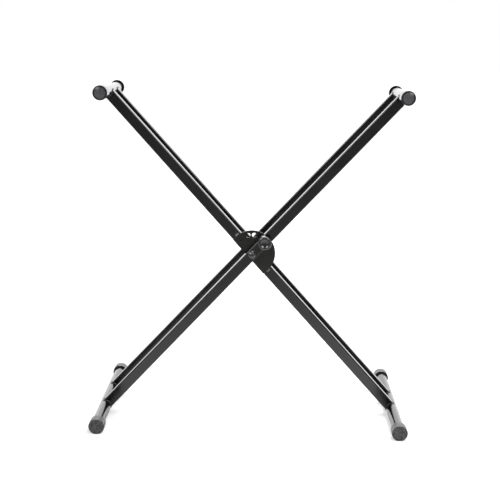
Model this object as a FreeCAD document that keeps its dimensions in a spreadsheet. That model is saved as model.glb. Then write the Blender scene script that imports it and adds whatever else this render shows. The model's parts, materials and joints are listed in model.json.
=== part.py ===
import FreeCAD
import Part
import Sketcher
import os
import re

# Folding keyboard stand: two crossed ladder legs on one pivot axis, held open by a spring pin in a plate.
#
# Millimetres and degrees. +Z is up, +X to the right, +Y away from the front. The origin is on the floor under
# the middle of the stand. Leg A rises to the right and its two tubes are the outer pair. Leg B rises to the
# left and its two tubes run between them. Each leg has a frame of its own: its X runs up along the leg from
# the pivot axis, and its Y is the stand's Y.

SIZES = (
    ("leg_angle", 47.5, "slope of each leg above the floor as the stand is set up"),
    ("upper_reach", 518, "pivot axis to the axis of a top crossbar"),
    ("lower_reach", 522, "pivot axis to the axis of a foot bar"),
    ("tube_width", 25, "leg tube, across the face that shows from the front"),
    ("tube_depth", 20, "leg tube, front to back"),
    ("tube_wall", 1.5, "leg tube wall"),
    ("tube_corner", 2.5, "leg tube outer corner radius"),
    ("outer_span", 159, "front face of leg A's front tube to the back face of its rear tube"),
    ("leg_gap", 5.5, "gap between neighbouring tubes of the two legs"),
    ("bar_diameter", 28, "crossbars and foot bars"),
    ("bar_wall", 1.5, "crossbar and foot bar wall"),
    ("top_bar_a_length", 276, "leg A's top crossbar without its caps"),
    ("top_bar_b_length", 324, "leg B's top crossbar without its caps"),
    ("foot_bar_length", 460, "each foot bar without its caps"),
    ("top_cap_wall", 3, "crossbar cap, wall of its sleeve"),
    ("top_cap_sleeve", 24, "crossbar cap, length over the bar"),
    ("top_cap_flare", 1, "crossbar cap, sleeve wider in radius at its open end"),
    ("top_cap_ring", 2.8, "crossbar cap, flat ring round its domed face"),
    ("top_cap_bevel", 0.5, "crossbar cap, rounded rim"),
    ("top_cap_dome", 2, "crossbar cap, rise of its face at the centre"),
    ("foot_cap_wall", 4.5, "foot cap, wall of its sleeve"),
    ("foot_cap_sleeve", 25, "foot cap, length over the bar"),
    ("foot_cap_bevel", 1, "foot cap, rounded rim of its face"),
    ("foot_axis_height", 17.5, "foot bar axis above the floor, where the cap's flat stands"),
    ("cap_end", 3.5, "closed end of every cap"),
    ("plate_radius", 56, "locking plate, round edge about the pivot axis"),
    ("plate_thickness", 4, "locking plate"),
    ("plate_edge", 0.3, "locking plate, broken edge"),
    ("hole_circle", 45, "pivot axis to the centre of each height hole and of the lock pin"),
    ("hole_diameter", 11, "height holes"),
    ("hole_pitch", 18.5, "angle from one height setting to the next"),
    ("hole_count", 4, "height holes in the even row"),
    ("fold_angle", 80, "turn of leg B from this setting until the stand is folded"),
    ("pivot_diameter", 10, "pivot bolt shank"),
    ("pivot_head_diameter", 19, "pivot bolt head"),
    ("pivot_head_height", 5, "pivot bolt head"),
    ("socket_flats", 6, "hexagon socket in the pivot bolt's head, across flats"),
    ("socket_depth", 3, "hexagon socket in the pivot bolt's head"),
    ("thread_end", 2, "pivot bolt beyond its nut"),
    ("nut_flats", 16, "pivot nut across flats"),
    ("nut_height", 7, "pivot nut, hexagon"),
    ("nut_collar", 3, "pivot nut, height of the collar that holds its locking ring"),
    ("nut_collar_diameter", 14.5, "pivot nut, collar"),
    ("washer_diameter", 24, "gap washers and nut washers"),
    ("nut_washer_thickness", 2, "nut washers"),
    ("sleeve_diameter", 14, "pivot sleeves through the tubes"),
    ("guide_diameter", 18, "pin guide through leg A's front tube"),
    ("guide_proud", 13, "pin guide in front of the tube"),
    ("guide_lip", 4, "front wall of the pin guide, which the pin's stem runs in"),
    ("pin_diameter", 10, "lock pin nose"),
    ("pin_nose", 18, "lock pin nose, length"),
    ("pin_tip", 1.2, "lock pin, bevel of its tip"),
    ("pin_travel", 8, "lock pin, from drawn back to home in a hole"),
    ("pin_short", 0.2, "lock pin's tip short of leg B's tube when home"),
    ("stem_diameter", 6, "lock pin stem"),
    ("stem_seat", 3, "depth of the stem in the knob"),
    ("spring_wire", 1, "lock spring wire"),
    ("spring_diameter", 8.2, "lock spring, centre line of its coils"),
    ("spring_turns", 4, "lock spring"),
    ("knob_diameter", 32, "pull knob"),
    ("knob_length", 21, "pull knob, skirt to the crest of its rim"),
    ("knob_rim", 3.5, "pull knob, rounded rim"),
    ("knob_dish_diameter", 21, "pull knob, dish in its face for a fingertip"),
    ("knob_dish_depth", 3, "pull knob, dish in its face"),
    ("knob_bore", 22, "hollow of the pull knob round the pin guide"),
    ("knob_end", 8.5, "pull knob, floor of its hollow to the crest of its rim"),
    ("running_clearance", 0.1, "radial clearance of shafts in their holes"),
    ("face_clearance", 0.2, "gap between flat faces that turn on each other"),
)

# Lengths along Y are measured out from the middle of the stand, and the same holds for front and rear.
DERIVED = (
    ("pivot_height", "foot_axis_height + lower_reach * sin(leg_angle)"),
    ("face_a", "outer_span / 2"),
    ("back_a", "face_a - tube_depth"),
    ("face_b", "back_a - leg_gap"),
    ("back_b", "face_b - tube_depth"),
    ("bolt_hole", "pivot_diameter + 2 * running_clearance"),
    ("pin_hole", "pin_diameter + 2 * running_clearance"),
    ("washer_face", "back_b - face_clearance"),
    ("nut_face", "washer_face - nut_washer_thickness"),
    ("nut_end", "nut_face - nut_height - nut_collar"),
    ("first_hole", "2 * leg_angle - 180"),
    ("tip_drawn", "face_b + pin_short + pin_travel"),
    ("shoulder_drawn", "tip_drawn + pin_nose"),
    ("guide_face", "face_a + guide_proud"),
    ("chamber_end", "guide_face - guide_lip"),
    ("knob_floor", "guide_face + pin_travel + face_clearance"),
    ("stem_end", "knob_floor + stem_seat"),
)

SHEET = "Sizes"
ANGLES = ("leg_angle", "hole_pitch", "fold_angle", "first_hole")
REFERENCES = {size[0]: f"<<{SHEET}>>.{size[0]}" for size in SIZES + DERIVED}

doc = FreeCAD.newDocument("keyboard_stand")
sheet = doc.addObject("Spreadsheet::Sheet", SHEET)
parts = []


def fill_sheet():
    """Write the driving sizes as plain numbers and the sizes worked out from them as formulas."""
    row = 1
    for name, value, note in SIZES:
        sheet.set(f"A{row}", name)
        sheet.set(f"B{row}", str(value))
        sheet.set(f"C{row}", note)
        sheet.setAlias(f"B{row}", name)
        row += 1
    for name, formula in DERIVED:
        sheet.set(f"A{row}", name)
        sheet.set(f"B{row}", "=" + in_degrees(formula))
        sheet.setAlias(f"B{row}", name)
        row += 1
    doc.recompute()


def in_degrees(formula):
    """Give an angle its unit inside a sine or cosine."""
    return re.sub(r"\b(sin|cos)\((" + "|".join(ANGLES) + r")\)", r"\1(\2 * 1deg)", formula)


def expression(formula):
    """Turn the names of sizes in a formula into references to the sheet."""
    return re.sub(r"[a-z_]+", lambda word: REFERENCES.get(word[0], word[0]), in_degrees(formula))


def value_of(formula):
    """The present value of a formula, for placing geometry before its constraints take over."""
    value = sheet.evalExpression(expression(formula))
    return float(getattr(value, "Value", value))


# ---------------------------------------------------------------- sketches


def plane_of(body, role):
    return next(feature for feature in body.Origin.OriginFeatures if feature.Role == role)


def new_sketch(body, role):
    sketch = body.newObject("Sketcher::SketchObject", body.Label + "_sketch")
    sketch.AttachmentSupport = (plane_of(body, role), [""])
    sketch.MapMode = "FlatFace"
    return sketch


def constrain(sketch, formula, kind, *where):
    """Add a dimension and bind it to the sheet."""
    index = sketch.addConstraint(Sketcher.Constraint(kind, *where, value_of(formula)))
    name = f"size_{index}"
    sketch.renameConstraint(index, name)
    sketch.setExpression(f"Constraints.{name}", expression(formula))


def set_point(sketch, geometry, point, across, up):
    """Fix a point of the geometry at (across, up) from the sketch origin."""
    constrain(sketch, across, "DistanceX", -1, 1, geometry, point)
    constrain(sketch, up, "DistanceY", -1, 1, geometry, point)


def add_circle(sketch, across, up, diameter):
    centre = FreeCAD.Vector(value_of(across), value_of(up), 0)
    circle = Part.Circle(centre, FreeCAD.Vector(0, 0, 1), value_of(diameter) / 2)
    geometry = sketch.addGeometry(circle)
    set_point(sketch, geometry, 3, across, up)
    constrain(sketch, diameter, "Diameter", geometry)


def add_outline(sketch, corners, bulges=(), hollows=()):
    """Close an outline through corners given as formulas, anticlockwise.

    A side is named by the number of its first corner. Each (side, radius) of the bulges is an arc that
    swells outwards, and each of the hollows is an arc that dips inwards.
    """
    spots = [FreeCAD.Vector(value_of(across), value_of(up), 0) for across, up in corners]
    outward = dict(bulges)
    inward = dict(hollows)
    for side, start in enumerate(spots):
        following = (side + 1) % len(corners)
        first, last = corners[side], corners[following]
        if side in outward:
            geometry = add_arc(sketch, start, spots[following], outward[side])
        elif side in inward:
            geometry = add_arc(sketch, spots[following], start, inward[side])
            first, last = last, first
        else:
            geometry = sketch.addGeometry(Part.LineSegment(start, spots[following]))
        set_point(sketch, geometry, 1, *first)
        set_point(sketch, geometry, 2, *last)


def add_arc(sketch, start, end, radius):
    geometry = sketch.addGeometry(arc_between(start, end, value_of(radius)))
    constrain(sketch, radius, "Radius", geometry)
    return geometry


def arc_between(start, end, radius):
    """The short anticlockwise arc from start to end."""
    chord = end - start
    half = chord.Length / 2
    inward = FreeCAD.Vector(-chord.y, chord.x, 0).normalize()
    centre = (start + end) * 0.5 + inward * (radius * radius - half * half) ** 0.5
    circle = Part.Circle(centre, FreeCAD.Vector(0, 0, 1), radius)
    return Part.ArcOfCircle(circle, circle.parameter(start), circle.parameter(end))


def add_hexagon(sketch, flats):
    corner = f"{flats} / 2 / cos(30deg)"
    add_outline(sketch, [(f"{corner} * cos({60 * side}deg)", f"{corner} * sin({60 * side}deg)")
                         for side in range(6)])


def dome_radius(edge, rise):
    """The radius of a dome that reaches out to the edge and stands or sinks by the rise at its centre."""
    return f"(({edge}) * ({edge}) + {rise} * {rise}) / (2 * {rise})"


# ---------------------------------------------------------------- features


def new_part(name):
    body = doc.addObject("PartDesign::Body", name)
    body.Label = name
    parts.append(body)
    return body


def place(body, x, y, z, axis=(0, 0, 1), angle="0"):
    body.Placement = FreeCAD.Placement(FreeCAD.Vector(0, 0, 0), FreeCAD.Rotation(FreeCAD.Vector(*axis), 1))
    for key, formula in (("x", x), ("y", y), ("z", z)):
        body.setExpression(f"Placement.Base.{key}", expression(formula))
    body.setExpression("Placement.Rotation.Angle", expression(angle))


def pad(body, sketch, length, side="One side"):
    feature = body.newObject("PartDesign::Pad", body.Label + "_pad")
    feature.Profile = sketch
    feature.SideType = side
    feature.setExpression("Length", expression(length))
    doc.recompute()
    return feature


def pocket(body, sketch, depth):
    feature = body.newObject("PartDesign::Pocket", body.Label + "_recess")
    feature.Profile = sketch
    feature.setExpression("Length", expression(depth))
    doc.recompute()


def pocket_through(body, sketch):
    feature = body.newObject("PartDesign::Pocket", body.Label + "_holes")
    feature.Profile = sketch
    feature.SideType = "Symmetric"
    feature.Type = "ThroughAll"
    doc.recompute()
    return feature


def edges_where(feature, test):
    return [f"Edge{number}" for number, edge in enumerate(feature.Shape.Edges, 1) if test(edge)]


def is_closed(edge):
    return edge.Closed


def break_edges(body, feature, edges, amount):
    """Bevel the named edges by a size of the sheet."""
    bevel = body.newObject("PartDesign::Chamfer", body.Label + "_edge")
    bevel.Base = (feature, edges)
    bevel.setExpression("Size", expression(amount))
    doc.recompute()


def ring(name, outer, inner, length, x, y, z):
    """A round tube, washer or sleeve along Y, with its middle at the given place."""
    body = new_part(name)
    sketch = new_sketch(body, "XZ_Plane")
    add_circle(sketch, "0", "0", outer)
    add_circle(sketch, "0", "0", inner)
    pad(body, sketch, length, "Symmetric")
    place(body, x, y, z)


def turned(name, corners, bulges=(), hollows=()):
    """A turned piece: corners are (radius, place along Y), and the piece is spun about its own Y axis."""
    body = new_part(name)
    sketch = new_sketch(body, "XY_Plane")
    add_outline(sketch, corners, bulges, hollows)
    feature = body.newObject("PartDesign::Revolution", name + "_turn")
    feature.Profile = sketch
    feature.ReferenceAxis = (sketch, ["V_Axis"])
    feature.Angle = 360
    doc.recompute()
    return body


def set_from_outside(body, distance, end, spot=("0", "pivot_height")):
    """Place a piece that runs inwards from a plane this far in front of, or behind, the stand's middle."""
    if end == "front":
        place(body, spot[0], f"-({distance})", spot[1])
    else:
        place(body, spot[0], distance, spot[1], (0, 0, 1), "180")


# ---------------------------------------------------------------- leg ladders

TOP_A = ("upper_reach * cos(leg_angle)", "pivot_height + upper_reach * sin(leg_angle)")
TOP_B = ("-upper_reach * cos(leg_angle)", "pivot_height + upper_reach * sin(leg_angle)")
FOOT_A = ("-lower_reach * cos(leg_angle)", "foot_axis_height")
FOOT_B = ("lower_reach * cos(leg_angle)", "foot_axis_height")
SLOPE = {"a": "-leg_angle", "b": "leg_angle - 180"}
PIN_X = "hole_circle * cos(leg_angle)"
PIN_Z = "pivot_height + hole_circle * sin(leg_angle)"


def add_rounded_rectangle(sketch, width, height, corner):
    x = f"(({width}) / 2)"
    y = f"(({height}) / 2)"
    inner_x = f"({x} - ({corner}))"
    inner_y = f"({y} - ({corner}))"
    corners = [
        (f"-{inner_x}", f"-{y}"),
        (inner_x, f"-{y}"),
        (x, f"-{inner_y}"),
        (x, inner_y),
        (inner_x, y),
        (f"-{inner_x}", y),
        (f"-{x}", inner_y),
        (f"-{x}", f"-{inner_y}"),
    ]
    add_outline(sketch, corners, [(side, corner) for side in (1, 3, 5, 7)])


def leg_tube(name, leg, centre_y, extra_holes=()):
    """A hollow rectangular tube with rounded corners, coped to the round bars at both ends."""
    body = new_part(name)
    section = new_sketch(body, "YZ_Plane")
    section.setExpression("AttachmentOffset.Base.z", expression("-lower_reach"))
    add_rounded_rectangle(section, "tube_depth", "tube_width", "tube_corner")
    add_rounded_rectangle(section, "tube_depth - 2 * tube_wall", "tube_width - 2 * tube_wall",
                          "tube_corner - tube_wall")
    pad(body, section, "upper_reach + lower_reach")
    cuts = new_sketch(body, "XZ_Plane")
    add_circle(cuts, "upper_reach", "0", "bar_diameter")
    add_circle(cuts, "-lower_reach", "0", "bar_diameter")
    add_circle(cuts, "0", "0", "sleeve_diameter")
    for distance, diameter in extra_holes:
        add_circle(cuts, distance, "0", diameter)
    pocket_through(body, cuts)
    place(body, "0", centre_y, "pivot_height", (0, 1, 0), SLOPE[leg])


def bar(name, length, spot):
    ring(name, "bar_diameter", "bar_diameter - 2 * bar_wall", length, spot[0], "0", spot[1])


def top_cap(name, bar_length, spot, end):
    """A push-on cap with a domed face inside a flat ring, and a sleeve that widens towards its open end."""
    inner = "bar_diameter / 2"
    outer = "bar_diameter / 2 + top_cap_wall"
    face = f"{outer} - top_cap_ring"
    corners = [
        ("0", "-cap_end - top_cap_dome"),
        (face, "-cap_end"),
        (f"{outer} - top_cap_bevel", "-cap_end"),
        (outer, "top_cap_bevel - cap_end"),
        (f"{outer} + top_cap_flare", "top_cap_sleeve"),
        (inner, "top_cap_sleeve"),
        (inner, "0"),
        ("0", "0"),
    ]
    body = turned(name, corners, [(0, dome_radius(face, "top_cap_dome")), (2, "top_cap_bevel")])
    set_from_outside(body, f"{bar_length} / 2", end, spot)


def foot_cap(name, bar_length, spot, end):
    """A push-on cap with a flat face, cut flat above and below so that it stands without rolling."""
    inner = "bar_diameter / 2"
    outer = "bar_diameter / 2 + foot_cap_wall"
    corners = [
        ("0", "-cap_end"),
        (f"{outer} - foot_cap_bevel", "-cap_end"),
        (outer, "foot_cap_bevel - cap_end"),
        (outer, "foot_cap_sleeve"),
        (inner, "foot_cap_sleeve"),
        (inner, "0"),
        ("0", "0"),
    ]
    body = turned(name, corners, [(1, "foot_cap_bevel")])
    flats = new_sketch(body, "XZ_Plane")
    side = f"2 * ({outer})"
    for up in ("1", "-1"):
        near = f"{up} * foot_axis_height"
        far = f"{up} * {side}"
        add_outline(flats, [(f"-{side}", near), (side, near), (side, far), (f"-{side}", far)])
    pocket_through(body, flats)
    set_from_outside(body, f"{bar_length} / 2", end, spot)


def build_leg_a():
    leg_tube("leg_a_front_tube", "a", "-(face_a - tube_depth / 2)", [("hole_circle", "guide_diameter")])
    leg_tube("leg_a_rear_tube", "a", "face_a - tube_depth / 2")
    bar("leg_a_top_bar", "top_bar_a_length", TOP_A)
    bar("leg_a_foot_bar", "foot_bar_length", FOOT_A)
    for end in ("front", "rear"):
        top_cap(f"leg_a_top_cap_{end}", "top_bar_a_length", TOP_A, end)
        foot_cap(f"leg_a_foot_cap_{end}", "foot_bar_length", FOOT_A, end)
    sleeve("leg_a_front_sleeve", "-(face_a - tube_depth / 2)")
    sleeve("leg_a_rear_sleeve", "face_a - tube_depth / 2")


def build_leg_b():
    leg_tube("leg_b_front_tube", "b", "-(face_b - tube_depth / 2)")
    leg_tube("leg_b_rear_tube", "b", "face_b - tube_depth / 2")
    bar("leg_b_top_bar", "top_bar_b_length", TOP_B)
    bar("leg_b_foot_bar", "foot_bar_length", FOOT_B)
    for end in ("front", "rear"):
        top_cap(f"leg_b_top_cap_{end}", "top_bar_b_length", TOP_B, end)
        foot_cap(f"leg_b_foot_cap_{end}", "foot_bar_length", FOOT_B, end)
    sleeve("leg_b_front_sleeve", "-(face_b - tube_depth / 2)")
    sleeve("leg_b_rear_sleeve", "face_b - tube_depth / 2")


# ---------------------------------------------------------------- hub


def sleeve(name, centre_y):
    """A short tube that keeps the pivot bolt from crushing a leg tube."""
    ring(name, "sleeve_diameter", "bolt_hole", "tube_depth", "0", centre_y, "pivot_height")


def locking_plate():
    """A round plate about the pivot axis, cut straight along leg B's lower edge, with a hole per setting."""
    body = new_part("locking_plate")
    outline = new_sketch(body, "XZ_Plane")
    add_circle(outline, "0", "0", "2 * plate_radius")
    disc = pad(body, outline, "plate_thickness")
    break_edges(body, disc, edges_where(disc, is_closed), "plate_edge")
    cuts = new_sketch(body, "XZ_Plane")
    add_circle(cuts, "0", "0", "bolt_hole")
    storage = "(first_hole + fold_angle) * 1deg"
    add_circle(cuts, f"hole_circle * cos({storage})", f"hole_circle * sin({storage})", "hole_diameter")
    side = "2 * plate_radius"
    near = "tube_width / 2"
    add_outline(cuts, [(f"-{side}", near), (side, near), (side, side), (f"-{side}", side)])
    pocket_through(body, cuts)
    start = new_sketch(body, "XZ_Plane")
    add_circle(start, "hole_circle * cos(first_hole)", "hole_circle * sin(first_hole)", "hole_diameter")
    first = pocket_through(body, start)
    row = body.newObject("PartDesign::PolarPattern", "locking_plate_row")
    row.Originals = [first]
    row.Axis = (start, ["N_Axis"])
    row.setExpression("Occurrences", expression("hole_count"))
    row.setExpression("Angle", expression("hole_pitch * (hole_count - 1)"))
    body.Tip = row
    doc.recompute()
    place(body, "0", "-face_b", "pivot_height", (0, 1, 0), SLOPE["b"])


def pivot_bolt(name, end):
    """A bolt with a low round head and a hexagon socket, put through one pair of tubes from the outside."""
    length = "face_a - nut_end + thread_end"
    head = "pivot_head_diameter / 2"
    corners = [
        ("0", "-pivot_head_height"),
        (head, "0"),
        ("pivot_diameter / 2", "0"),
        ("pivot_diameter / 2", length),
        ("0", length),
    ]
    body = turned(name, corners, [(0, dome_radius(head, "pivot_head_height"))])
    socket = new_sketch(body, "XZ_Plane")
    socket.setExpression("AttachmentOffset.Base.z", expression("pivot_head_height"))
    add_hexagon(socket, "socket_flats")
    pocket(body, socket, "socket_depth")
    set_from_outside(body, "face_a", end)


def pivot_nut(name, end):
    """A hexagon nut with the collar of its locking ring away from the washer."""
    body = new_part(name)
    hexagon = new_sketch(body, "XZ_Plane")
    add_hexagon(hexagon, "nut_flats")
    block = pad(body, hexagon, "nut_height")
    block.Reversed = True
    collar = new_sketch(body, "XZ_Plane")
    add_circle(collar, "0", "0", "nut_collar_diameter")
    top = pad(body, collar, "nut_height + nut_collar")
    top.Reversed = True
    bore = new_sketch(body, "XZ_Plane")
    add_circle(bore, "0", "0", "bolt_hole")
    pocket_through(body, bore)
    set_from_outside(body, "nut_face", end)


def build_pivots():
    for end, side in (("front", "-"), ("rear", "")):
        pivot_bolt(f"{end}_pivot_bolt", end)
        pivot_nut(f"{end}_pivot_nut", end)
        ring(f"{end}_nut_washer", "washer_diameter", "bolt_hole", "nut_washer_thickness", "0",
             f"{side}(nut_face + nut_washer_thickness / 2)", "pivot_height")
    front_gap = "(leg_gap - plate_thickness - face_clearance)"
    rear_gap = "(leg_gap - face_clearance)"
    ring("front_gap_washer", "washer_diameter", "bolt_hole", front_gap, "0",
         f"-(back_a - {front_gap} / 2)", "pivot_height")
    ring("rear_gap_washer", "washer_diameter", "bolt_hole", rear_gap, "0",
         f"back_a - {rear_gap} / 2", "pivot_height")


# ---------------------------------------------------------------- lock


def pin_guide():
    """A turned guide through leg A's front tube, with a lip round the stem and a bore for the nose."""
    corners = [
        ("stem_diameter / 2 + running_clearance", "-guide_face"),
        ("guide_diameter / 2", "-guide_face"),
        ("guide_diameter / 2", "-back_a"),
        ("pin_hole / 2", "-back_a"),
        ("pin_hole / 2", "-chamber_end"),
        ("stem_diameter / 2 + running_clearance", "-chamber_end"),
    ]
    place(turned("pin_guide", corners), PIN_X, "0", PIN_Z)


def lock_pin():
    """The pin as drawn back, its tip clear of the plate; a stem carries the knob."""
    corners = [
        ("0", "-stem_end"),
        ("stem_diameter / 2", "-stem_end"),
        ("stem_diameter / 2", "-shoulder_drawn"),
        ("pin_diameter / 2", "-shoulder_drawn"),
        ("pin_diameter / 2", "-tip_drawn - pin_tip"),
        ("pin_diameter / 2 - pin_tip", "-tip_drawn"),
        ("0", "-tip_drawn"),
    ]
    place(turned("lock_pin", corners), PIN_X, "0", PIN_Z)


def lock_spring():
    """The coil spring between the guide's lip and the pin's shoulder, as pressed with the pin drawn back."""
    body = new_part("lock_spring")
    wire = new_sketch(body, "XY_Plane")
    add_circle(wire, "spring_diameter / 2", "-chamber_end + spring_wire / 2", "spring_wire")
    coil = body.newObject("PartDesign::AdditiveHelix", "lock_spring_coil")
    coil.Profile = wire
    coil.ReferenceAxis = (wire, ["V_Axis"])
    coil.Mode = "height-turns-angle"
    coil.setExpression("Height", expression("chamber_end - shoulder_drawn - spring_wire"))
    coil.setExpression("Turns", expression("spring_turns"))
    doc.recompute()
    place(body, PIN_X, "0", PIN_Z)
    pitch = value_of("(chamber_end - shoulder_drawn - spring_wire) / spring_turns")
    print(f"lock_spring: {pitch - value_of('spring_wire'):.2f} mm clear between its turns")


def pull_knob():
    """A knob with a dished face and a round rim, and a hollow skirt that runs over the pin guide."""
    crest = "knob_floor + knob_end"
    dish = "knob_dish_diameter / 2"
    corners = [
        ("0", "-stem_end"),
        ("0", f"-({crest} - knob_dish_depth)"),
        (dish, f"-({crest})"),
        ("knob_diameter / 2 - knob_rim", f"-({crest})"),
        ("knob_diameter / 2", f"-({crest}) + knob_rim"),
        ("knob_diameter / 2", f"-({crest}) + knob_length"),
        ("knob_bore / 2", f"-({crest}) + knob_length"),
        ("knob_bore / 2", "-knob_floor"),
        ("stem_diameter / 2", "-knob_floor"),
        ("stem_diameter / 2", "-stem_end"),
    ]
    body = turned("pull_knob", corners, [(3, "knob_rim")], [(1, dome_radius(dish, "knob_dish_depth"))])
    place(body, PIN_X, "0", PIN_Z)


# ---------------------------------------------------------------- build and write

fill_sheet()
build_leg_a()
build_leg_b()
locking_plate()
build_pivots()
pin_guide()
lock_pin()
lock_spring()
pull_knob()
doc.recompute()

for item in doc.Objects:
    if "Invalid" in item.State or "Error" in item.State:
        raise RuntimeError(f"{item.Label} failed: {item.State}")
for item in parts:
    if item.Shape.isNull() or not item.Shape.isValid():
        raise RuntimeError(f"{item.Label} has no valid shape")
    if len(item.Shape.Solids) != 1:
        raise RuntimeError(f"{item.Label} is {len(item.Shape.Solids)} solids")

os.makedirs("parts", exist_ok=True)
for item in parts:
    item.Shape.exportStep(os.path.join("parts", item.Label + ".step"))
    box = item.Shape.BoundBox
    print(f"{item.Label}: {item.Shape.Volume:.0f} mm3, x {box.XMin:.1f} to {box.XMax:.1f}, "
          f"y {box.YMin:.1f} to {box.YMax:.1f}, z {box.ZMin:.1f} to {box.ZMax:.1f}")
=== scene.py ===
import json
import math
import random

import bmesh
import bpy
from mathutils import Matrix, Vector


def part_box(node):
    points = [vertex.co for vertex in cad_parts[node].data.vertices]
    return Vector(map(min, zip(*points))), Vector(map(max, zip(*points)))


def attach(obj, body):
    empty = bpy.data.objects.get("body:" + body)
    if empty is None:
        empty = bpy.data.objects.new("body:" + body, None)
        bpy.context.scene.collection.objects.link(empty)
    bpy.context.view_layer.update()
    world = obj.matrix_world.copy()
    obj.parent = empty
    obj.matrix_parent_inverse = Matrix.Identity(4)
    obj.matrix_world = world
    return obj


# Folding keyboard stand in gloss black powder coat, with moulded end caps, rubber feet and a pull knob.
# Metres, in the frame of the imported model: +Z up, +X right, +Y away from the front.

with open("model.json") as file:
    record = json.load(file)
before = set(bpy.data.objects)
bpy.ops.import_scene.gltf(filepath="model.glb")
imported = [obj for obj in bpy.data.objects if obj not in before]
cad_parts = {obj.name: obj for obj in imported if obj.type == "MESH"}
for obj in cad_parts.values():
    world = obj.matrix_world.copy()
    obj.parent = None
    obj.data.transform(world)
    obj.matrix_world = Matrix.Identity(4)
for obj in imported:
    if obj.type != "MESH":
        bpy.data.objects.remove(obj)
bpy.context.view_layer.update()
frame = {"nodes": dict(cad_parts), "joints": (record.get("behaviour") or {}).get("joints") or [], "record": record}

# ---------------------------------------------------------------- sizes read from the frame

PIVOT = Vector(next(joint["pos_m"] for joint in frame["joints"] if joint["name"] == "leg_fold"))

# The leg tubes stand at a slant, so their boxes don't tell their width or their corner radius.
TUBE_WIDTH = 0.025
TUBE_CORNER = 0.0025


def centre(node):
    low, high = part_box(node)
    return (low + high) / 2


def reach(node):
    """How far the node reaches out from the middle of the stand along Y."""
    low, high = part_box(node)
    return max(-low.y, high.y)


# ---------------------------------------------------------------- camera

CAMERA_PLACE = (0.0248, -2.736, 0.9133)
CAMERA_YAW = 0.636
CAMERA_PITCH = 10.633
CAMERA_ROLL = 1.10
FOCAL_PIXELS = 1131
PHOTO_WIDTH = 500
SENSOR_WIDTH = 36
CLIP_END = 50


def add_camera():
    """A long lens from the front, a little above the crossbars and a little rolled, as in the photograph."""
    yaw, pitch, roll = (math.radians(angle) for angle in (CAMERA_YAW, CAMERA_PITCH, CAMERA_ROLL))
    forward = Vector((-math.sin(yaw) * math.cos(pitch), math.cos(yaw) * math.cos(pitch), -math.sin(pitch)))
    right = Vector((math.cos(yaw), math.sin(yaw), 0))
    up = right.cross(forward)
    rolled_right = math.cos(roll) * right + math.sin(roll) * up
    rolled_up = math.cos(roll) * up - math.sin(roll) * right
    camera_data = bpy.data.cameras.new("camera")
    camera_data.sensor_width = SENSOR_WIDTH
    camera_data.lens = FOCAL_PIXELS / PHOTO_WIDTH * SENSOR_WIDTH
    camera_data.clip_end = CLIP_END
    camera = bpy.data.objects.new("camera", camera_data)
    turn = Matrix((rolled_right, rolled_up, -forward)).transposed().to_4x4()
    camera.matrix_world = Matrix.Translation(CAMERA_PLACE) @ turn
    bpy.context.scene.collection.objects.link(camera)
    bpy.context.scene.camera = camera


# ---------------------------------------------------------------- light and floor

# The room is dim in front of the stand and white behind it, and directions are told apart by their Y. Matt
# surfaces get only a share of its light.
FRONT_LIGHT = 0.10
DIM_SIDE = -0.55
WHITE_SIDE = 0.05
SOFT_SHARE = 0.5

# Each light has a name, a place, a target, a width and height, a power in watts and a spread in degrees.
OPEN_SPREAD = 180
GRID_SPREAD = 50
SIDE_SPREAD = 60
LIGHTS = (
    ("overhead", (0.7, 0.2, 2.1), (0.3, 0, 0), (1.5, 1.5), 38, OPEN_SPREAD),
    ("left_box", (-1.5, -2.05, 2.1), (0, 0, 0.6), (1.7, 1.5), 4.2, GRID_SPREAD),
    ("right_box", (1.5, -2.05, 2.1), (0, 0, 0.6), (1.7, 1.5), 4.7, GRID_SPREAD),
    ("side_box", (-1.9, -0.35, 1.6), (0, -0.08, 0.43), (1.1, 1.1), 1.4, SIDE_SPREAD),
    ("sweep", (0, 3.6, 1.5), (0, 0, 0.6), (6, 3.2), 62, OPEN_SPREAD),
)

# The floor lifts itself to white for the camera, less so close to the stand, where its shadow falls.
FLOOR_SIZE = 60
FLOOR_COLOUR = (0.8, 0.8, 0.8, 1)
NEAR_FLOOR_LIFT = 0.38
FAR_FLOOR_LIFT = 1
NEAR_FLOOR = 0.9
FAR_FLOOR = 2.2

# What the gloss of the stand mirrors: a pool of light on the floor in front of it and a sweep behind it.
POOL_LIFT = 0.34
OUTER_LIFT = 0.05
POOL_MIDDLE = (0.55, -0.35, 0)
POOL_EDGE = 1.7
SWEEP_LIFT = 0.5
SWEEP_START = 0.2
SWEEP_FULL = 1.2


def add_math(tree, operation, first, second=0, clamp=False):
    """A Math node whose inputs are sockets or plain numbers."""
    node = tree.nodes.new("ShaderNodeMath")
    node.operation = operation
    node.use_clamp = clamp
    for socket, value in zip(node.inputs, (first, second)):
        if isinstance(value, (int, float)):
            socket.default_value = value
        else:
            tree.links.new(value, socket)
    return node.outputs[0]


def add_range(tree, value, low, high, to_low, to_high):
    """A smooth step of a value between two levels."""
    node = tree.nodes.new("ShaderNodeMapRange")
    node.interpolation_type = "SMOOTHSTEP"
    tree.links.new(value, node.inputs["Value"])
    for name, number in (("From Min", low), ("From Max", high), ("To Min", to_low), ("To Max", to_high)):
        node.inputs[name].default_value = number
    return node.outputs["Result"]


def mirrored_rays(tree, path):
    """1 for rays that a gloss or a clear surface sends on, and 0 for the others."""
    return add_math(tree, "ADD", path.outputs["Is Glossy Ray"], path.outputs["Is Transmission Ray"], True)


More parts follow.
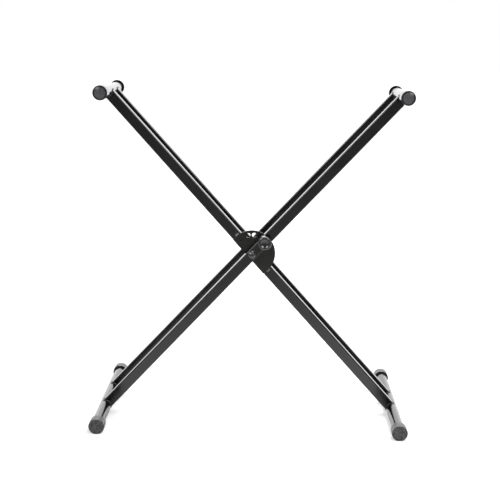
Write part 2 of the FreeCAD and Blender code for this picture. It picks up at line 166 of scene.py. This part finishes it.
def light_world():
    """A white studio behind and above the stand, and a dimmer one behind the camera."""
    world = bpy.data.worlds.new("studio")
    bpy.context.scene.world = world
    world.use_nodes = True
    tree = world.node_tree
    tree.nodes.clear()
    direction = tree.nodes.new("ShaderNodeTexCoord")
    parts = tree.nodes.new("ShaderNodeSeparateXYZ")
    tree.links.new(direction.outputs["Generated"], parts.inputs[0])
    path = tree.nodes.new("ShaderNodeLightPath")
    mirrored = add_math(tree, "MULTIPLY", mirrored_rays(tree, path), 1 - SOFT_SHARE)
    share = add_math(tree, "ADD", mirrored, SOFT_SHARE)
    sweep = add_range(tree, parts.outputs["Y"], DIM_SIDE, WHITE_SIDE, FRONT_LIGHT, 1)
    room = tree.nodes.new("ShaderNodeBackground")
    tree.links.new(add_math(tree, "MULTIPLY", sweep, share), room.inputs["Strength"])
    white = tree.nodes.new("ShaderNodeBackground")
    white.inputs["Color"].default_value = (1, 1, 1, 1)
    white.inputs["Strength"].default_value = 1
    mix = tree.nodes.new("ShaderNodeMixShader")
    tree.links.new(path.outputs["Is Camera Ray"], mix.inputs[0])
    tree.links.new(room.outputs[0], mix.inputs[1])
    tree.links.new(white.outputs[0], mix.inputs[2])
    output = tree.nodes.new("ShaderNodeOutputWorld")
    tree.links.new(mix.outputs[0], output.inputs["Surface"])


def add_area_light(name, place, target, size, power, spread):
    light_data = bpy.data.lights.new(name, "AREA")
    light_data.shape = "RECTANGLE"
    light_data.spread = math.radians(spread)
    light_data.size = size[0]
    light_data.size_y = size[1]
    light_data.energy = power
    light = bpy.data.objects.new(name, light_data)
    light.location = place
    light.rotation_euler = (Vector(target) - Vector(place)).to_track_quat("-Z", "Y").to_euler()
    light.visible_camera = False
    bpy.context.scene.collection.objects.link(light)


def distance_from(tree, point):
    """How far the shaded point lies from a point of the object's own space."""
    place = tree.nodes.new("ShaderNodeTexCoord")
    distance = tree.nodes.new("ShaderNodeVectorMath")
    distance.operation = "DISTANCE"
    distance.inputs[1].default_value = point
    tree.links.new(place.outputs["Object"], distance.inputs[0])
    return distance.outputs["Value"]


def add_floor():
    """A pale floor that reads as white, with a pool of light in front of the stand and a sweep behind it."""
    mesh = bpy.data.meshes.new("floor")
    half = FLOOR_SIZE / 2
    corners = [(-half, -half, 0), (half, -half, 0), (half, half, 0), (-half, half, 0)]
    mesh.from_pydata(corners, [], [(0, 1, 2, 3)])
    floor = bpy.data.objects.new("floor", mesh)
    bpy.context.scene.collection.objects.link(floor)
    material = bpy.data.materials.new("floor")
    material.use_nodes = True
    tree = material.node_tree
    tree.nodes.clear()
    diffuse = tree.nodes.new("ShaderNodeBsdfDiffuse")
    diffuse.inputs["Color"].default_value = FLOOR_COLOUR
    path = tree.nodes.new("ShaderNodeLightPath")
    from_stand = distance_from(tree, (0, 0, 0))
    white = add_range(tree, from_stand, NEAR_FLOOR, FAR_FLOOR, NEAR_FLOOR_LIFT, FAR_FLOOR_LIFT)
    pool = add_range(tree, distance_from(tree, POOL_MIDDLE), 0, POOL_EDGE, POOL_LIFT, OUTER_LIFT)
    place = tree.nodes.new("ShaderNodeTexCoord")
    parts = tree.nodes.new("ShaderNodeSeparateXYZ")
    tree.links.new(place.outputs["Object"], parts.inputs[0])
    sweep = add_range(tree, parts.outputs["Y"], SWEEP_START, SWEEP_FULL, 0, SWEEP_LIFT)
    mirrored = add_math(tree, "MULTIPLY", mirrored_rays(tree, path), add_math(tree, "ADD", pool, sweep))
    seen = add_math(tree, "MULTIPLY", path.outputs["Is Camera Ray"], white)
    lift = tree.nodes.new("ShaderNodeEmission")
    tree.links.new(add_math(tree, "ADD", seen, mirrored), lift.inputs["Strength"])
    both = tree.nodes.new("ShaderNodeAddShader")
    tree.links.new(diffuse.outputs[0], both.inputs[0])
    tree.links.new(lift.outputs[0], both.inputs[1])
    output = tree.nodes.new("ShaderNodeOutputMaterial")
    tree.links.new(both.outputs[0], output.inputs["Surface"])
    mesh.materials.append(material)


# ---------------------------------------------------------------- materials

# Ends of the caps, measured in from their outermost point: how deep the outer face reaches, and where the
# mouth begins. Each kind of cap has a face with its own radius and shade, and the masks have soft edges.
CAP_END = 0.003
CAP_MOUTH = 0.012
# Painted shade: the mouth's near-black colour stands in for the shadow inside each cap's open mouth.
MOUTH_PAINTED_SHADE = (0.004, 0.004, 0.004)
TOP_CAP_FACE = 0.0126
TOP_FACE_SHADE = 4.6
FOOT_CAP_FACE = 0.019
FOOT_FACE_SHADE = 0.55
RIM_BLUR = 0.0003
END_BLUR = 0.0002

# How squarely a surface has to face along Y before it counts as an end, at first and in full.
FLAT_FROM = 0.90
FLAT_FULL = 0.94

# A slow drift of colour and gloss over each finish, and a fine grain that lifts it.
DRIFT_DETAIL = 4
COLOUR_DRIFT = (0.35, 0.65)
GLOSS_DRIFT = (0.3, 0.7)
GRAIN_DETAIL = 2
GRAIN_HEIGHT = 1 / 8

# Refractive indices: a surface with a higher one mirrors more.
PLAIN_IOR = 1.5
PAINT_IOR = 1.6
PLASTIC_IOR = 1.6
KNOB_IOR = 1.65
BOLT_IOR = 1.85


def add_noise(tree, size, detail):
    """Noise in the object's own space, with features of about the given size in metres."""
    place = tree.nodes.new("ShaderNodeTexCoord")
    noise = tree.nodes.new("ShaderNodeTexNoise")
    noise.inputs["Scale"].default_value = 1 / size
    noise.inputs["Detail"].default_value = detail
    tree.links.new(place.outputs["Object"], noise.inputs["Vector"])
    return noise.outputs["Fac"]


def mix_colours(tree, amount, first, second):
    node = tree.nodes.new("ShaderNodeMix")
    node.data_type = "RGBA"
    tree.links.new(amount, node.inputs["Factor"])
    for socket, value in ((node.inputs["A"], first), (node.inputs["B"], second)):
        if isinstance(value, tuple):
            socket.default_value = (*value, 1)
        else:
            tree.links.new(value, socket)
    return node.outputs["Result"]


def coated(name, dark, light, roughness, grain, bump, ior=PLAIN_IOR, uneven=0.03, patches=0.055):
    """A finish with a fine grain: colour and gloss drift between two levels, and the grain lifts it."""
    material = bpy.data.materials.new(name)
    material.use_nodes = True
    tree = material.node_tree
    shader = tree.nodes["Principled BSDF"]
    shader.inputs["IOR"].default_value = ior
    drift = add_noise(tree, patches, DRIFT_DETAIL)
    colour = mix_colours(tree, add_range(tree, drift, *COLOUR_DRIFT, 0, 1), dark, light)
    tree.links.new(colour, shader.inputs["Base Color"])
    gloss = add_range(tree, drift, *GLOSS_DRIFT, roughness - uneven, roughness + uneven)
    tree.links.new(gloss, shader.inputs["Roughness"])
    lift = tree.nodes.new("ShaderNodeBump")
    lift.inputs["Strength"].default_value = bump
    lift.inputs["Distance"].default_value = grain * GRAIN_HEIGHT
    tree.links.new(add_noise(tree, grain, GRAIN_DETAIL), lift.inputs["Height"])
    tree.links.new(lift.outputs["Normal"], shader.inputs["Normal"])
    return material


def facing_out(tree):
    """1 on surfaces that face straight along Y, which no joint of the stand turns, and 0 on the others."""
    geometry = tree.nodes.new("ShaderNodeNewGeometry")
    parts = tree.nodes.new("ShaderNodeSeparateXYZ")
    tree.links.new(geometry.outputs["Normal"], parts.inputs[0])
    return add_range(tree, add_math(tree, "ABSOLUTE", parts.outputs["Y"]), FLAT_FROM, FLAT_FULL, 0, 1)


def end_faces(tree, cap, radius):
    """Two masks of a cap's flat ends: its outer end as far as a radius from its axis, and its mouth."""
    place = tree.nodes.new("ShaderNodeTexCoord")
    middle = centre(cap)
    offset = tree.nodes.new("ShaderNodeVectorMath")
    offset.operation = "SUBTRACT"
    offset.inputs[1].default_value = (middle.x, 0, middle.z)
    tree.links.new(place.outputs["Object"], offset.inputs[0])
    parts = tree.nodes.new("ShaderNodeSeparateXYZ")
    tree.links.new(offset.outputs[0], parts.inputs[0])
    across = add_math(tree, "POWER", parts.outputs["X"], 2)
    up = add_math(tree, "POWER", parts.outputs["Z"], 2)
    from_axis = add_math(tree, "SQRT", add_math(tree, "ADD", across, up))
    inside = add_range(tree, from_axis, radius - RIM_BLUR, radius + RIM_BLUR, 1, 0)
    along = add_math(tree, "ABSOLUTE", parts.outputs["Y"])
    flat = facing_out(tree)
    end = reach(cap) - CAP_END
    outer = add_math(tree, "MULTIPLY", add_range(tree, along, end - END_BLUR, end + END_BLUR, 0, 1), inside)
    inner = reach(cap) - CAP_MOUTH
    mouth = add_range(tree, along, inner - END_BLUR, inner + END_BLUR, 1, 0)
    return add_math(tree, "MULTIPLY", outer, flat), add_math(tree, "MULTIPLY", mouth, flat)


def with_end_faces(material, cap, radius, shade):
    """Give a cap's outer end a face of its own shade, and paint its mouth near-black as painted shade, for the
    shadow where no light reaches.
    """
    tree = material.node_tree
    shader = tree.nodes["Principled BSDF"]
    face, mouth = end_faces(tree, cap, radius)
    base = shader.inputs["Base Color"].links[0].from_socket
    shaded = tree.nodes.new("ShaderNodeVectorMath")
    shaded.operation = "SCALE"
    shaded.inputs["Scale"].default_value = shade
    tree.links.new(base, shaded.inputs[0])
    base = mix_colours(tree, face, base, shaded.outputs[0])
    # The mouth gets painted shade in place of the shadow that falls there.
    tree.links.new(mix_colours(tree, mouth, base, MOUTH_PAINTED_SHADE), shader.inputs["Base Color"])
    return material


def top_cap(name, cap):
    plastic = coated(name, (0.012, 0.012, 0.013), (0.018, 0.018, 0.019), 0.14, 0.0006, 0.02, PLASTIC_IOR)
    return with_end_faces(plastic, cap, TOP_CAP_FACE, TOP_FACE_SHADE)


def foot_cap(name, cap):
    rubber = coated(name, (0.026, 0.026, 0.028), (0.135, 0.135, 0.140), 0.42, 0.0026, 0.5, patches=0.006)
    return with_end_faces(rubber, cap, FOOT_CAP_FACE, FOOT_FACE_SHADE)


def painted_steel():
    return coated("powder_coat", (0.004, 0.004, 0.004), (0.007, 0.007, 0.007), 0.16, 0.0022, 0.12, PAINT_IOR)


def painted_plate():
    """The locking plate's coat, which is duller and a little olive."""
    return coated("plate_paint", (0.004, 0.005, 0.003), (0.007, 0.008, 0.005), 0.30, 0.0010, 0.05)


def weld_paint():
    """Paint over rough weld metal, thinned to grey; its small pale spots are partly that grey paint and partly
    painted glints.
    """
    # The pale end of the drift, in 2 mm patches, paints glints on the tacks as well as thin grey paint.
    return coated("weld_paint", (0.02, 0.02, 0.02), (0.22, 0.22, 0.22), 0.30, 0.0009, 0.3,
                  uneven=0.08, patches=0.002)


def knob_plastic():
    return coated("knob_plastic", (0.014, 0.014, 0.015), (0.028, 0.028, 0.030), 0.12, 0.0009, 0.02, KNOB_IOR,
                  patches=0.006)


def black_oxide():
    return coated("black_oxide", (0.004, 0.004, 0.004), (0.008, 0.008, 0.008), 0.26, 0.0008, 0.02, BOLT_IOR)


def zinc_plate():
    zinc = coated("zinc_plate", (0.50, 0.50, 0.50), (0.64, 0.64, 0.66), 0.30, 0.0010, 0.12)
    zinc.node_tree.nodes["Principled BSDF"].inputs["Metallic"].default_value = 1
    return zinc


def nylon():
    return coated("nylon", (0.030, 0.030, 0.030), (0.045, 0.045, 0.045), 0.5, 0.0006, 0.1)


def make_materials():
    """The finishes by material slot, and by node where a node has one of its own."""
    finishes = {
        "frame_paint": painted_steel(),
        "locking_plate": painted_plate(),
        "weld": weld_paint(),
        "knob": knob_plastic(),
        "black_bolt": black_oxide(),
        "zinc_steel": zinc_plate(),
        "nylon": nylon(),
    }
    for leg in ("a", "b"):
        for end in ("front", "rear"):
            top = f"leg_{leg}_top_cap_{end}"
            foot = f"leg_{leg}_foot_cap_{end}"
            finishes[top] = top_cap(f"cap_{leg}_{end}", top)
            finishes[foot] = foot_cap(f"rubber_{leg}_{end}", foot)
    return finishes


def dress_nodes(finishes):
    """Give every node of the frame a finish of its own, or else the finish of its slot."""
    for row in frame["record"]["subparts"]:
        node = frame["nodes"][row["node"]]
        node.data.materials.clear()
        node.data.materials.append(finishes.get(row["node"]) or finishes[row["material_slot"]])


# ---------------------------------------------------------------- welds

# A bead is a round run with a ripple for each stop of the torch; a run that isn't closed has rounded ends.
BEAD_STEP = 0.0005
BEAD_SIDES = 10
BEAD_WAVER = 0.03
BEAD_TIP = 0.2
RIPPLE_LENGTH = 0.0021
RIPPLE_DEPTH = 0.16

JOINT_BEAD = 0.0017
JOINT_STEP = 0.001
CORNER_TURNS = (0, 30, 60, 90)
GUIDE_BEAD = 0.0011
GUIDE_POINTS = 60

# The tacks lie along the locking plate's rim, a little outside it and a little in front of its back face.
# Each is named with its turn in radians from leg B's upper end.
TACK_BEAD = 0.004
TACK_OUT = 0.001
TACK_RISE = 0.0006
TACK_LENGTH = 0.011
TACK_STEPS = 8
TACK_PLACES = (("upper", -0.04), ("lower", math.pi + 0.025))


def walk(corners, closed, step):
    """Points at an even step along straight runs between corners."""
    ends = corners[1:] + corners[:1] if closed else corners[1:]
    points = []
    for start, end in zip(corners, ends):
        count = max(1, round((end - start).length / step))
        points += [start.lerp(end, number / count) for number in range(count)]
    return points if closed else points + [corners[-1]]


def add_bead(name, body, path, closed, axis, radius, material):
    """A painted weld bead along a path; the axis sets how its round section is turned."""
    points = walk(path, closed, BEAD_STEP)
    chance = random.Random(name)
    mesh = bmesh.new()
    rings = []
    for number, point in enumerate(points):
        before = points[number - 1] if number or closed else point
        after = points[(number + 1) % len(points)] if closed or number + 1 < len(points) else point
        along = (after - before).normalized()
        side = (axis - axis.dot(along) * along).normalized()
        up = along.cross(side)
        phase = number * BEAD_STEP / RIPPLE_LENGTH % 1
        size = radius * (1 - RIPPLE_DEPTH * phase + chance.uniform(-BEAD_WAVER, BEAD_WAVER))
        if not closed:
            from_end = min(number, len(points) - 1 - number) * BEAD_STEP / radius
            size *= math.sqrt(max(BEAD_TIP ** 2, 1 - max(0, 1 - from_end) ** 2))
        rings.append([
            mesh.verts.new(point + size * (math.cos(angle) * side + math.sin(angle) * up))
            for angle in (2 * math.pi * spoke / BEAD_SIDES for spoke in range(BEAD_SIDES))
        ])
    for first, second in zip(rings, rings[1:] + rings[:1] if closed else rings[1:]):
        for spoke in range(BEAD_SIDES):
            following = (spoke + 1) % BEAD_SIDES
            mesh.faces.new((first[spoke], first[following], second[following], second[spoke]))
    if not closed:
        mesh.faces.new(list(reversed(rings[0])))
        mesh.faces.new(rings[-1])
    bmesh.ops.recalc_face_normals(mesh, faces=mesh.faces)
    add_piece(name, mesh, body, material)


def add_piece(name, mesh, body, material):
    """Link a finished mesh as a smooth piece that rides on its body."""
    data = bpy.data.meshes.new(name)
    mesh.to_mesh(data)
    mesh.free()
    data.shade_smooth()
    data.materials.append(material)
    piece = bpy.data.objects.new(name, data)
    bpy.context.scene.collection.objects.link(piece)
    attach(piece, body)


def tube_outline(depth):
    """The outline of a leg tube's section as (across the leg, along Y), with its rounded corners."""
    outline = []
    for corner_x, corner_y, start in ((1, 1, 0), (-1, 1, 90), (-1, -1, 180), (1, -1, 270)):
        middle_x = corner_x * (TUBE_WIDTH / 2 - TUBE_CORNER)
        middle_y = corner_y * (depth / 2 - TUBE_CORNER)
        for turn in CORNER_TURNS:
            angle = math.radians(start + turn)
            x = middle_x + TUBE_CORNER * math.cos(angle)
            y = middle_y + TUBE_CORNER * math.sin(angle)
            outline.append((x, y))
    return outline


def coped_rim(tube, bar):
    """The rim where a leg tube meets the round bar that it is coped to, and the way from the bar's axis."""
    low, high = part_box(tube)
    outline = tube_outline(high.y - low.y)
    axis = centre(bar)
    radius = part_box(bar)[1].x - axis.x
    inward = (Vector((PIVOT.x, 0, PIVOT.z)) - axis).normalized()
    across = inward.cross(Vector((0, 1, 0)))
    rim = []
    for start, end in zip(outline, outline[1:] + outline[:1]):
        count = max(1, math.ceil(math.dist(start, end) / JOINT_STEP))
        for number in range(count):
            x = start[0] + (end[0] - start[0]) * number / count
            y = start[1] + (end[1] - start[1]) * number / count
            rise = math.sqrt(radius * radius - x * x)
            rim.append(axis + rise * inward + x * across + Vector((0, (low.y + high.y) / 2 + y, 0)))
    return rim, inward


def add_joint_beads(material):
    """A bead round each end of each leg tube."""
    for leg in ("a", "b"):
        for side in ("front", "rear"):
            for bar in ("top", "foot"):
                rim, inward = coped_rim(f"leg_{leg}_{side}_tube", f"leg_{leg}_{bar}_bar")
                add_bead(f"weld_{leg}_{side}_{bar}", f"leg_{leg}", rim, True, inward, JOINT_BEAD, material)


def add_guide_bead(material):
    """A bead round the pin guide, where it comes out of leg A's front tube."""
    low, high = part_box("pin_guide")
    middle = centre("pin_guide")
    radius = (high.x - low.x) / 2
    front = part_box("leg_a_front_tube")[0].y
    ring = []
    for number in range(GUIDE_POINTS):
        angle = 2 * math.pi * number / GUIDE_POINTS
        x = middle.x + radius * math.cos(angle)
        z = middle.z + radius * math.sin(angle)
        ring.append(Vector((x, front, z)))
    add_bead("weld_guide", "leg_a", ring, True, Vector((0, 1, 0)), GUIDE_BEAD, material)


def add_plate_tacks(material):
    """Two short beads that hold the locking plate's rim to leg B's front tube."""
    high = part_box("locking_plate")[1]
    radius = high.x - PIVOT.x + TACK_OUT
    depth = high.y - PIVOT.y - TACK_RISE
    along = centre("leg_b_top_bar") - PIVOT
    slope = math.atan2(along.z, along.x)
    sweep = TACK_LENGTH / radius
    for name, turn in TACK_PLACES:
        arc = []
        for number in range(TACK_STEPS + 1):
            angle = slope + turn + sweep * (number / TACK_STEPS - 1 / 2)
            arc.append(PIVOT + Vector((radius * math.cos(angle), depth, radius * math.sin(angle))))
        add_bead(f"weld_plate_{name}", "leg_b", arc, False, Vector((0, 1, 0)), TACK_BEAD, material)


# ---------------------------------------------------------------- scene

add_camera()
light_world()
for light in LIGHTS:
    add_area_light(*light)
add_floor()
materials = make_materials()
dress_nodes(materials)
add_joint_beads(materials["frame_paint"])
add_guide_bead(materials["frame_paint"])
add_plate_tacks(materials["weld"])

bpy.context.scene.view_settings.view_transform = "Standard"
